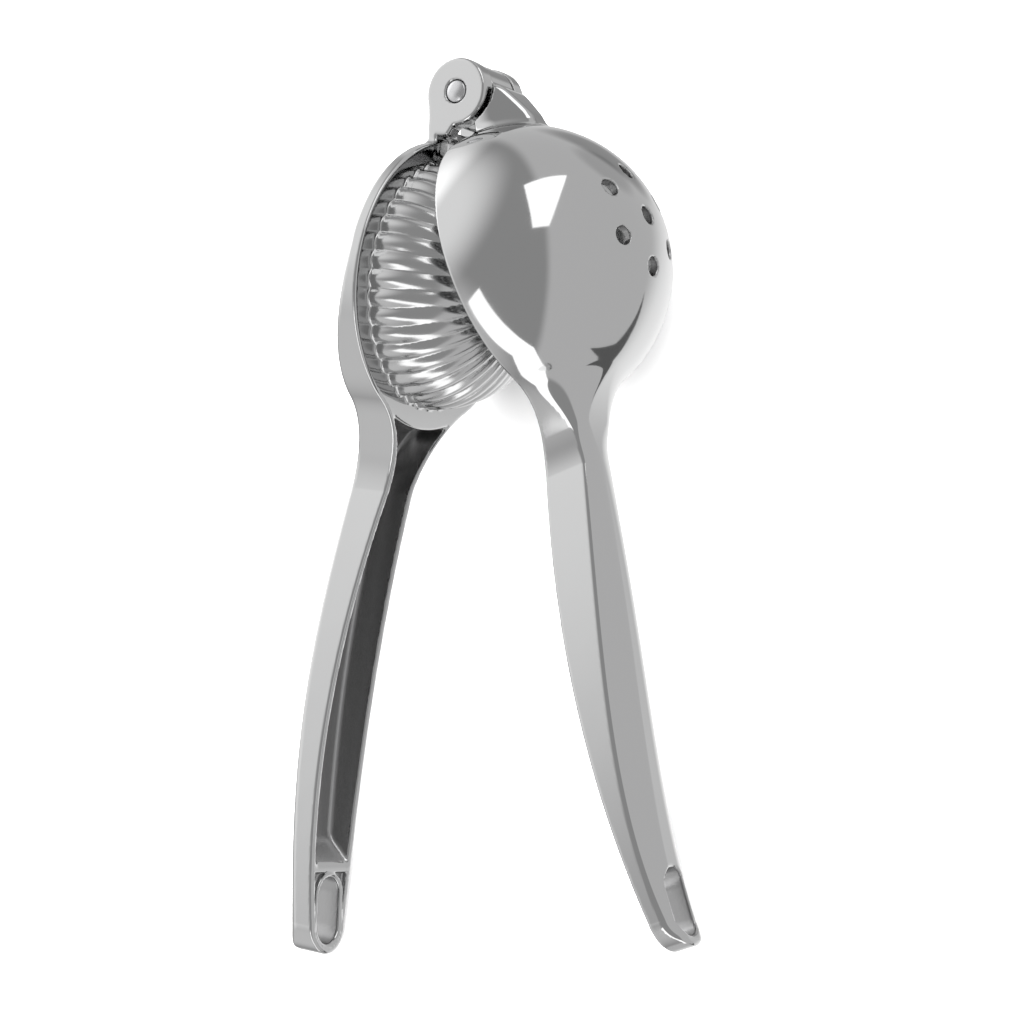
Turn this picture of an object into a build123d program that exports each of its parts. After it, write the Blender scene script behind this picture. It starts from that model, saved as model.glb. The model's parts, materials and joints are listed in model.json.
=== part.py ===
from build123d import *
import math
import os

# Citrus squeezer: two cast arms on one hinge pin, lying open on its side.
# Millimetres, +Z up. Each arm is drawn closed in its own frame, with the hinge axis along Z at the
# origin, the arm running toward -Y and the cup bulging toward +X. "Reach" is the distance from the
# hinge axis along the arm, "drop" the distance toward the plunger side, "half" half a width.

# Bowls
rim_reach = 11.5
bowl_radius = 35.0
rim_drop = 0.6
rim_gap = 2.6
rim_bevel = 0.8
cup_wall = 2.6
cup_skirt = 1.6
flange_thickness = 3.4
flange_ramp_reach = 34.0
drain_diameter = 4.4
drain_ring_radius = 12.3
drain_count = 6

# Plunger
plunger_radius = 30.2
plunger_height = 26.5
plunger_wall = 2.6
flute_count = 40
flute_depth = 0.95
nose_radius = 5.0

# Handles
neck_reach = 98.0
swell_reach = 128.0
grip_reach = 162.0
wrist_reach = 188.0
end_reach = 212.0
neck_half = 6.0
swell_half = 8.4
grip_half = 9.5
end_radius = 7.0
flare_radius = 25.0
handle_gap = 1.2
neck_drop = 6.3
swell_drop = 10.7
grip_drop = 12.6
end_drop = 9.4
cup_neck_depth = 13.0
cup_swell_depth = 14.4
cup_grip_depth = 11.8
cup_wrist_depth = 8.4
cup_end_depth = 6.4
cup_throat_radius = 22.0
plunger_neck_depth = 12.0
plunger_swell_depth = 11.8
plunger_grip_depth = 10.9
plunger_wrist_depth = 9.4
plunger_end_depth = 8.2
crest_neck_half = 2.5
crest_grip_half = 3.3
crest_end_half = 4.0
facet_neck_drop = 1.5
facet_grip_drop = 4.0
facet_end_drop = 2.0

# Handle channels and hang eyes
channel_wall = 1.7
channel_draft = 1.0
channel_floor = 3.4
eye_land = 2.9
channel_end_slope = 6.0
cup_back_wall = 3.4
flange_back_wall = 0.4
eye_inset = 10.6
eye_length = 16.0
eye_width = 8.6
eye_collar = 1.3
eye_recess = 1.5

# Hinge
pin_diameter = 5.4
pin_clearance = 0.05
pin_dome = 0.7
pin_sink = 0.2
pin_chamfer = 0.3
ear_radius = 8.3
ear_thickness = 4.0
ear_bevel = 0.6
hinge_half = 9.2
side_clearance = 0.25
ear_clearance = 0.8
stem_front = 0.9
stem_toe = -0.8
stem_toe_rise = 3.0
stem_back_top = 7.7
stem_back_foot = 6.0
lug_radius = 8.0
lug_half = 8.4
lug_crest_half = 3.5
lug_front = 1.9
lug_top_reach = 2.2
lug_top_rise = 10.5
lug_shoulder_reach = 5.0
lug_shoulder_rise = 12.2
lug_foot_reach = 12.0
lug_foot_rise = 15.4

# Pose on the table
rest_opening = 26.0


# Shapes shared by the two arms


def smooth(points, at):
    """Value at one reach of the smooth curve through a few (reach, value) points."""
    total = 0.0
    for i, (reach, value) in enumerate(points):
        weight = 1.0
        for j, (other, _) in enumerate(points):
            if j != i:
                weight *= (at - other) / (reach - other)
        total += value * weight
    return total


bowl_reach = rim_reach + bowl_radius
eye_reach = end_reach - eye_inset
channel_end_reach = eye_reach - eye_length / 2 - eye_land
flare_half = neck_half + flare_radius
flare_reach = bowl_reach + math.sqrt((bowl_radius + flare_radius) ** 2 - flare_half**2)
flare_share = bowl_radius / (bowl_radius + flare_radius)
tangent_reach = bowl_reach + (flare_reach - bowl_reach) * flare_share
tangent_half = flare_half * flare_share
tip_reach = end_reach - end_radius

def stations(start, count):
    """Evenly spaced reaches from one reach to just past the handle's end."""
    return [start + (end_reach + 3 - start) * i / count for i in range(count + 1)]


def half_width(reach):
    """Half the arm's width, seen square on to the bowls."""
    if reach <= bowl_reach:
        return bowl_radius
    if reach <= tangent_reach:
        return math.sqrt(bowl_radius**2 - (reach - bowl_reach) ** 2)
    if reach <= flare_reach:
        return flare_half - math.sqrt(flare_radius**2 - (flare_reach - reach) ** 2)
    points = [(flare_reach, neck_half), (swell_reach, swell_half), (grip_reach, grip_half)]
    return smooth(points + [(tip_reach, end_radius)], reach)


def eased(start, level, end, curve, reach):
    """Flat at one level up to the start, then a soft ramp that runs into the curve at the end."""
    if reach <= start:
        return level
    if reach >= end:
        return curve(reach)
    step = 0.01
    slope = (curve(end + step) - curve(end)) / step
    span = end - start
    s = (reach - start) / span
    return level + (curve(end) - level) * s * s * (3 - 2 * s) + slope * span * s * s * (s - 1)


def parting(reach):
    """Drop of the curve along which the two handles face each other."""
    points = [(neck_reach, neck_drop), (swell_reach, swell_drop), (grip_reach, grip_drop)]
    return smooth(points + [(end_reach, end_drop)], reach)


def crest_half(reach):
    """Half the width of the flat crest along the back of a handle."""
    points = [(neck_reach, crest_neck_half), (grip_reach, crest_grip_half)]
    return smooth(points + [(end_reach, crest_end_half)], reach)


def facet_drop(reach):
    """How far the slanting facets beside the crest fall away."""
    points = [(neck_reach, facet_neck_drop), (grip_reach, facet_grip_drop)]
    return smooth(points + [(end_reach, facet_end_drop)], reach)


def ring_section(reach, points):
    """Closed outline square to the arm, from (x, z) points of its upper half."""
    whole = points + [(x, -z) for x, z in reversed(points)]
    edge = Polyline(*[(x, -reach, z) for x, z in whole], close=True)
    return Face(Wire(edge.edges()))


def back_section(reach, front, edge, crest, half, top_half):
    """Front, side, facet and crest of an arm at one reach, a little wider than its walls."""
    over = 1.0
    slant = (edge - crest) / (half - top_half)
    points = [(front, half + over), (edge + slant * over, half + over), (crest, top_half)]
    return ring_section(reach, points)


def side_edges(sign, root):
    """Outline of one side of an arm, from its bowl to the start of the rounded end."""
    tangent = (-tangent_reach, sign * tangent_half)
    neck = (-flare_reach, sign * neck_half)
    if root is None:
        top = (bowl_radius - bowl_reach, 0)
        first = ThreePointArc(top, (-bowl_reach, sign * bowl_radius), tangent)
    else:
        first = Line((-root, sign * (tangent_half - 2)), tangent)
    low = (tangent_reach + flare_reach) / 2
    flare = ThreePointArc(tangent, (-low, sign * half_width(low)), neck)
    grip = [(-swell_reach, sign * swell_half), (-grip_reach, sign * grip_half)]
    tip = (-tip_reach, sign * end_radius)
    grip_side = Spline(neck, *grip, tip, tangents=((-1, 0), (-1, -0.16 * sign)))
    return first.edges() + flare.edges() + grip_side.edges()


def plan_wall(root=None):
    """Arm outline seen square on to the bowls, whole or from one reach on, pulled through the depth."""
    edges = side_edges(1, root) + side_edges(-1, root)
    edges += ThreePointArc((-tip_reach, end_radius), (-end_reach, 0), (-tip_reach, -end_radius)).edges()
    if root is not None:
        edges += Line((-root, tangent_half - 2), (-root, 2 - tangent_half)).edges()
    outline = Face(Wire.combine(edges)[0])
    frame = Plane(origin=(-60, 0, 0), x_dir=(0, 1, 0), z_dir=(1, 0, 0))
    return extrude(frame * outline, amount=120, dir=(1, 0, 0))


def bowl_turn(outline):
    """Solid of revolution about the bowls' common axis, from (x, radius) edges."""
    face = Face(Wire.combine(outline)[0])
    placed = Pos(0, -bowl_reach, 0) * face
    return revolve(placed, Axis((0, -bowl_reach, 0), (1, 0, 0)), 360)


def slot(reach, length, width, low, high):
    """Oblong through the handle's end, between two x positions."""
    frame = Plane(origin=(low, -reach, 0), x_dir=(0, 1, 0), z_dir=(1, 0, 0))
    return extrude(frame * SlotOverall(length, width), amount=high - low)


def channel(front, floor, bowl_wall, away):
    """Trough cut into a handle from the side that faces the other handle."""
    cuts = []
    start = tangent_reach + 2
    for reach in stations(start, 16)[:-1]:
        half = half_width(reach) - channel_wall
        foot = max(half - channel_draft, 1.0)
        top = front(reach)
        points = [(top + away * 6, half + channel_draft), (top, half), (floor(reach), foot)]
        cuts.append(ring_section(reach, points))
    trough = loft(cuts)
    trough -= Pos(0, -bowl_reach, 0) * Rot(0, 90, 0) * Cylinder(bowl_radius + bowl_wall, 160)
    top = front(channel_end_reach)
    low = floor(channel_end_reach)
    lean = math.degrees(math.atan2(channel_end_slope, abs(top - low)))
    block = Box(160, 100, 100, align=(Align.CENTER, Align.MAX, Align.CENTER))
    return trough - Pos(top, -channel_end_reach, 0) * Rot(0, 0, -away * lean) * block


def eye_pocket(front, away):
    """Shallow recess round the collar of a hang eye."""
    cuts = []
    for reach in (channel_end_reach + channel_wall, eye_reach, tip_reach):
        half = half_width(reach) - channel_wall
        top = front(reach)
        cuts.append(ring_section(reach, [(top + away * 6, half), (top - away * eye_recess, half)]))
    pocket = loft(cuts)
    return pocket - slot(eye_reach, eye_length + 2 * eye_collar, eye_width + 2 * eye_collar, -60, 60)


# Cup arm

rim_x = -rim_drop
dome_x = rim_x + cup_skirt
inner_radius = bowl_radius - cup_wall


def cup_front(reach):
    """Face of the cup arm toward the other arm: level at the rim, then along the handle."""
    return eased(tangent_reach, rim_x, neck_reach, lambda r: handle_gap / 2 - parting(r), reach)


throat_base = cup_front(neck_reach) + cup_neck_depth
throat_side = throat_base + cup_throat_radius - dome_x
throat_span = math.sqrt((bowl_radius + cup_throat_radius) ** 2 - throat_side**2)
throat_reach = bowl_reach + throat_span
dome_reach = bowl_reach + throat_span * bowl_radius / (bowl_radius + cup_throat_radius)


def cup_crest(reach):
    """Height of the cup arm's back: over the dome, round the throat, then along the handle."""
    if reach <= dome_reach:
        return dome_x + math.sqrt(bowl_radius**2 - (reach - bowl_reach) ** 2)
    if reach <= throat_reach:
        fall = throat_reach - reach
        return throat_base + cup_throat_radius - math.sqrt(cup_throat_radius**2 - fall**2)
    points = [(throat_reach, throat_base), (swell_reach, cup_front(swell_reach) + cup_swell_depth)]
    points += [(grip_reach, cup_front(grip_reach) + cup_grip_depth)]
    points += [(wrist_reach, cup_front(wrist_reach) + cup_wrist_depth)]
    return smooth(points + [(end_reach, cup_front(end_reach) + cup_end_depth)], reach)


def cup_floor(reach):
    return cup_crest(max(reach, throat_reach)) - channel_floor


def cup_section(reach):
    """Outline of the cup arm's handle at one reach: round where it leaves the dome, then flat-sided."""
    over = 0.8
    front = cup_front(reach)
    crest = cup_crest(reach)
    half = half_width(reach)
    side = half + over
    if reach < tangent_reach:
        crest = rim_x + 0.8 * (crest - rim_x)
        side = 0.8 * half
    flat = min(max((reach - tangent_reach) / (neck_reach + 10 - tangent_reach), 0), 1)
    flat = flat * flat * (3 - 2 * flat)
    beyond = max(reach, neck_reach)
    top_half = side * (1 - flat) * 0.3 + crest_half(beyond) * flat
    edge = crest - facet_drop(beyond)
    points = [(front, side)]
    for share in (0.0, 0.25, 0.5, 0.75, 1.0):
        turn = math.radians(6 + 66 * share)
        bow_x = dome_x + (crest - dome_x) * math.sin(turn) / math.sin(math.radians(72))
        bow_z = side * math.cos(turn)
        facet_x = edge + (crest - edge) * share
        facet_z = side + (top_half - side) * share
        points.append((bow_x + (facet_x - bow_x) * flat, bow_z + (facet_z - bow_z) * flat))
    return ring_section(reach, points)


cup_back = loft([cup_section(reach) for reach in stations(tangent_reach - 6, 20)])
cup_handle = plan_wall(tangent_reach - 4) & cup_back

outer = [Line((rim_x, 0), (rim_x, bowl_radius - rim_bevel))]
outer.append(Line((rim_x, bowl_radius - rim_bevel), (rim_x + rim_bevel, bowl_radius)))
outer.append(Line((rim_x + rim_bevel, bowl_radius), (dome_x, bowl_radius)))
diagonal = math.sqrt(0.5)
outer.append(
    ThreePointArc(
        (dome_x, bowl_radius),
        (dome_x + bowl_radius * diagonal, bowl_radius * diagonal),
        (dome_x + bowl_radius, 0),
    )
)
outer.append(Line((dome_x + bowl_radius, 0), (rim_x, 0)))
bowl = bowl_turn(outer)

mouth = rim_x - 30
inner = [Line((mouth, 0), (mouth, inner_radius)), Line((mouth, inner_radius), (dome_x, inner_radius))]
inner.append(
    ThreePointArc(
        (dome_x, inner_radius),
        (dome_x + inner_radius * diagonal, inner_radius * diagonal),
        (dome_x + inner_radius, 0),
    )
)
inner.append(Line((dome_x + inner_radius, 0), (mouth, 0)))
cavity = bowl_turn(inner)

ear_sweep = ear_radius + ear_clearance
lug_outline = Polyline(
    (lug_front, -bowl_reach / 3),
    (lug_front, 0),
    (lug_top_rise * 0.6, 0),
    (lug_top_rise, -lug_top_reach),
    (lug_shoulder_rise, -lug_shoulder_reach),
    (lug_foot_rise, -lug_foot_reach),
    (lug_foot_rise, -bowl_reach / 2),
    (lug_front, -bowl_reach / 2),
    close=True,
)
lug_block = extrude(Face(Wire(lug_outline.edges())), amount=lug_half, both=True)
taper = Polyline(
    (-2 * lug_radius, lug_half),
    (lug_top_rise * 0.5, lug_half),
    (lug_foot_rise, lug_crest_half),
    (lug_foot_rise, -lug_crest_half),
    (lug_top_rise * 0.5, -lug_half),
    (-2 * lug_radius, -lug_half),
    close=True,
)
taper_face = Plane(origin=(0, 0, 0), x_dir=(1, 0, 0), z_dir=(0, -1, 0)) * Face(Wire(taper.edges()))
lug_block &= extrude(taper_face, amount=bowl_reach, dir=(0, -1, 0))
tongue_half = hinge_half - ear_thickness - side_clearance
tongue = Cylinder(lug_radius, 2 * tongue_half)
lug = lug_block + tongue
for side in (-1, 1):
    lug -= Pos(0, 0, side * (tongue_half + bowl_radius / 2)) * Cylinder(ear_sweep, bowl_radius)

cup_arm = bowl + cup_handle + lug - cavity
cup_arm -= channel(cup_front, cup_floor, cup_back_wall, -1)
cup_arm -= eye_pocket(cup_front, -1)
cup_arm -= slot(eye_reach, eye_length, eye_width, -60, 60)
drill_length = bowl_radius + cup_wall
drain_angle = math.degrees(math.asin(drain_ring_radius / bowl_radius))
drill = Cylinder(drain_diameter / 2, drill_length, align=(Align.CENTER, Align.CENTER, Align.MIN))
dome_centre = Pos(dome_x, -bowl_reach, 0)
cup_arm -= dome_centre * Rot(0, 90, 0) * drill
for i in range(drain_count):
    around = Rot(i * 360 / drain_count, 0, 0)
    cup_arm -= dome_centre * around * Rot(0, 0, -drain_angle) * Rot(0, 90, 0) * drill
cup_arm -= Cylinder(pin_diameter / 2 + pin_clearance, 4 * hinge_half)

# Plunger arm

flange_x = rim_x - rim_gap
flange_back = flange_x - flange_thickness


def plunger_front(reach):
    """Face of the plunger arm toward the other arm: level at the flange, then along the handle."""
    return eased(tangent_reach, flange_x, neck_reach, lambda r: -handle_gap / 2 - parting(r), reach)


def plunger_grip_back(reach):
    points = [(neck_reach, plunger_neck_depth), (swell_reach, plunger_swell_depth)]
    points += [(grip_reach, plunger_grip_depth), (wrist_reach, plunger_wrist_depth)]
    return plunger_front(reach) - smooth(points + [(end_reach, plunger_end_depth)], reach)


def plunger_crest(reach):
    """Back of the plunger arm: level behind the flange, then a ramp down to the handle."""
    return eased(flange_ramp_reach, flange_back, neck_reach, plunger_grip_back, reach)


def plunger_floor(reach):
    return plunger_crest(reach) + channel_floor


def plunger_section(reach):
    """Outline of the plunger arm's handle and its root behind the flange, at one reach."""
    half = half_width(reach)
    crest = plunger_crest(reach)
    front = plunger_front(reach)
    if reach < neck_reach:
        share = max(reach - flange_ramp_reach, 0) / (neck_reach - flange_ramp_reach)
        edge = crest + 0.6 + (facet_neck_drop - 0.6) * share
        top_half = half - 0.6 - (neck_half - crest_neck_half - 0.6) * share
        return back_section(reach, front, edge, crest, half, top_half)
    return back_section(reach, front, crest + facet_drop(reach), crest, half, crest_half(reach))


plunger_back = loft([plunger_section(reach) for reach in stations(0, 30)])
plunger_body = plan_wall() & plunger_back

# Fluted plunger: rings of outward bows, each ring smaller and shallower toward the nose


def flute_ring(x, radius, depth):
    """Outline of the plunger at one height: a bow of four chords for each flute."""
    points = []
    for i in range(flute_count):
        for share in (0.0, 0.2, 0.5, 0.8):
            bow = 4 * share * (1 - share)
            size = radius - depth * (1 - bow)
            turn = 2 * math.pi * (i + share) / flute_count
            points.append((x, size * math.cos(turn) - bowl_reach, size * math.sin(turn)))
    return Face(Wire(Polyline(*points, close=True).edges()))


rings = [flute_ring(flange_x - 1, plunger_radius, flute_depth)]
for angle in (10, 22, 34, 46, 58, 69):
    lift = math.sin(math.radians(angle))
    width = math.cos(math.radians(angle))
    ring_radius = plunger_radius * width
    rings.append(flute_ring(flange_x + plunger_height * lift, ring_radius, flute_depth * width))
last = math.acos(nose_radius / plunger_radius)
nose_x = flange_x + plunger_height * math.sin(last)
nose_depth = flute_depth * nose_radius / plunger_radius
rings.append(flute_ring(nose_x, nose_radius, nose_depth))
plunger = loft(rings, ruled=True)
nose_edge = nose_radius - nose_depth
nose_top = flange_x + plunger_height
nose = [Line((nose_x - 2, 0), (nose_x - 2, nose_edge)), Line((nose_x - 2, nose_edge), (nose_x, nose_edge))]
nose.append(Line((nose_x, nose_edge), (nose_top, 1)))
nose += [Line((nose_top, 1), (nose_top, 0)), Line((nose_top, 0), (nose_x - 2, 0))]
plunger += bowl_turn(nose)

hollow_radius = plunger_radius - flute_depth - plunger_wall
hollow_height = plunger_height - plunger_wall
hollow = [Line((-60, 0), (-60, hollow_radius)), Line((-60, hollow_radius), (flange_x, hollow_radius))]
round_radius = (hollow_radius**2 + hollow_height**2) / (2 * hollow_height)
round_centre = flange_x + hollow_height - round_radius
round_half = math.atan2(hollow_radius, flange_x - round_centre) / 2
round_middle = (round_centre + round_radius * math.cos(round_half), round_radius * math.sin(round_half))
hollow += ThreePointArc((flange_x, hollow_radius), round_middle, (flange_x + hollow_height, 0)).edges()
hollow.append(Line((flange_x + hollow_height, 0), (-60, 0)))

# Ears

foot_reach = bowl_reach - math.sqrt(bowl_radius**2 - hinge_half**2) + 3
stem_reach = bowl_reach - bowl_radius - 0.5
web_front = flange_x - 0.5
stem = Polyline(
    (-stem_back_top, -ear_radius * 0.2),
    (-stem_back_foot, -foot_reach),
    (web_front, -foot_reach),
    (web_front, -stem_reach),
    (stem_toe, -stem_reach),
    (stem_front, stem_toe_rise - stem_reach),
    (stem_front, 0),
    close=True,
)
ear_face = Face(Wire(stem.edges())) + Circle(ear_radius)
plunger_arm = plunger_body + plunger - bowl_turn(hollow)
for side in (-1, 1):
    ear = extrude(Pos(0, 0, side * hinge_half) * ear_face, amount=ear_thickness, dir=(0, 0, -side))
    outside = ear.faces().sort_by(Axis.Z)[-1 if side > 0 else 0]
    plunger_arm += chamfer(outside.edges(), ear_bevel)
web_top = lug_radius + ear_clearance
web_size = (stem_back_foot + web_front, foot_reach - web_top, 2 * hinge_half - ear_thickness)
plunger_arm += Pos(web_front, -web_top, 0) * Box(*web_size, align=(Align.MAX, Align.MAX, Align.CENTER))
plunger_arm -= channel(plunger_front, plunger_floor, flange_back_wall, 1)
plunger_arm -= eye_pocket(plunger_front, 1)
plunger_arm -= slot(eye_reach, eye_length, eye_width, -60, 60)
plunger_arm -= Cylinder(pin_diameter / 2, 4 * hinge_half)
for side in (-1, 1):
    sink = Cone(pin_diameter / 2, pin_diameter / 2 + pin_chamfer, pin_chamfer)
    plunger_arm -= Pos(0, 0, side * (hinge_half - pin_chamfer / 2)) * Rot(90 - 90 * side, 0, 0) * sink

# Hinge pin

pin_radius = pin_diameter / 2
pin_end = hinge_half - pin_sink
cap_radius = (pin_radius**2 + pin_dome**2) / (2 * pin_dome)
cap_centre = pin_end + pin_dome - cap_radius
cap_half = math.asin(pin_radius / cap_radius) / 2
pin_side = [Line((pin_radius, -pin_end), (pin_radius, pin_end))]
for sign in (-1, 1):
    shoulder = (pin_radius, sign * pin_end)
    middle = (cap_radius * math.sin(cap_half), sign * (cap_centre + cap_radius * math.cos(cap_half)))
    pin_side.append(ThreePointArc(shoulder, middle, (0, sign * (pin_end + pin_dome))))
pin_side.append(Line((0, -pin_end - pin_dome), (0, pin_end + pin_dome)))
hinge_pin = revolve(Plane.XZ * Face(Wire.combine(pin_side)[0]), Axis.Z, 360)

# Open the arms, then lay the tool on its side with both bowls and both handle ends on the table

lean = math.asin((bowl_radius - end_radius) / (tip_reach - bowl_reach))
tilt = math.degrees(math.atan(math.tan(lean) / math.cos(math.radians(rest_opening / 2))))
nodes = {
    "cup_arm": Rot(tilt, 0, 0) * Rot(0, 0, rest_opening / 2) * cup_arm,
    "plunger_arm": Rot(tilt, 0, 0) * Rot(0, 0, -rest_opening / 2) * plunger_arm,
    "hinge_pin": Rot(tilt, 0, 0) * Rot(0, 0, -rest_opening / 2) * hinge_pin,
}
box = Compound(children=[Compound(shape.solids()) for shape in nodes.values()]).bounding_box()
stand = Pos(-box.center().X, -box.center().Y, -box.min.Z)

os.makedirs("parts", exist_ok=True)
for name, shape in nodes.items():
    placed = stand * shape
    export_step(placed, f"parts/{name}.step")
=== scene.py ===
import json
import math
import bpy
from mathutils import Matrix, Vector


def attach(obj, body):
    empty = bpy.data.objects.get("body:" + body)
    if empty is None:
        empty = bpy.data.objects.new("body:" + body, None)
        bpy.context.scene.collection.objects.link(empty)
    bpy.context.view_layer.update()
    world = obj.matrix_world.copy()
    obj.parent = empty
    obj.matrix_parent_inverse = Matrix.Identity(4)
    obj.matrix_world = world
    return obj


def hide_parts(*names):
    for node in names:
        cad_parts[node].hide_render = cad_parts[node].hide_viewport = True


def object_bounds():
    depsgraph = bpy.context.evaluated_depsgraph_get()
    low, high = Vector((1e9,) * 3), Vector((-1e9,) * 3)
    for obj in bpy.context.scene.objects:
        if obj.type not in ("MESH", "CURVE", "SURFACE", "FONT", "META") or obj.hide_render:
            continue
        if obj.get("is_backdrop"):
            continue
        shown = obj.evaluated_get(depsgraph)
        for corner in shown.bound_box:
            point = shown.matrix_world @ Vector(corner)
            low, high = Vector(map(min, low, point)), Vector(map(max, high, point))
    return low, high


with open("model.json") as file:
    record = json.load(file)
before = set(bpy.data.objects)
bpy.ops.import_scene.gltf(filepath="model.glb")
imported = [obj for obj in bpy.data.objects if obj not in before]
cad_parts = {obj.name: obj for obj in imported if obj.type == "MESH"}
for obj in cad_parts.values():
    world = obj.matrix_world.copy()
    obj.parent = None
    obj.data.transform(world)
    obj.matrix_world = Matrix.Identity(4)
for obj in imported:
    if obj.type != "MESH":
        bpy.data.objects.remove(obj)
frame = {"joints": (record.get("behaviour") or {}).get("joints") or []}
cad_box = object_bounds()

from types import SimpleNamespace

import bpy
import numpy as np
from bpy.props import FloatProperty, FloatVectorProperty, IntProperty, PointerProperty
from mathutils import Matrix, Vector

bl_info = {
    "name": "Citrus squeezer",
    "version": (1, 0, 0),
    "blender": (4, 5, 0),
    "location": "View3D > Sidebar > Squeezer",
    "description": "Two polished, chrome plated castings on a steel hinge pin, on a pale floor",
    "category": "Object",
}

# Citrus squeezer lying open on its side. Each casting is worked out as a distance to its surface in
# the arm's own frame, in millimetres: x toward the cup, "reach" along the arm from the hinge axis, z
# along the hinge axis. The surface is then meshed, and set in place by the hinge joint.

MM = 0.001
SENSOR_WIDTH = 36.0


# Sizes and colours


def length(name, millimetres, description):
    """A size in the units of the scene."""
    return FloatProperty(
        name=name, description=description, default=millimetres * MM, unit="LENGTH", precision=5
    )


def amount(name, default, description):
    """A plain number from nought up."""
    return FloatProperty(name=name, description=description, default=default, min=0.0)


def colour(name, default, description):
    """A surface or light colour."""
    return FloatVectorProperty(
        name=name, description=description, default=default, size=3, subtype="COLOR", min=0.0, max=1.0
    )


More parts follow.
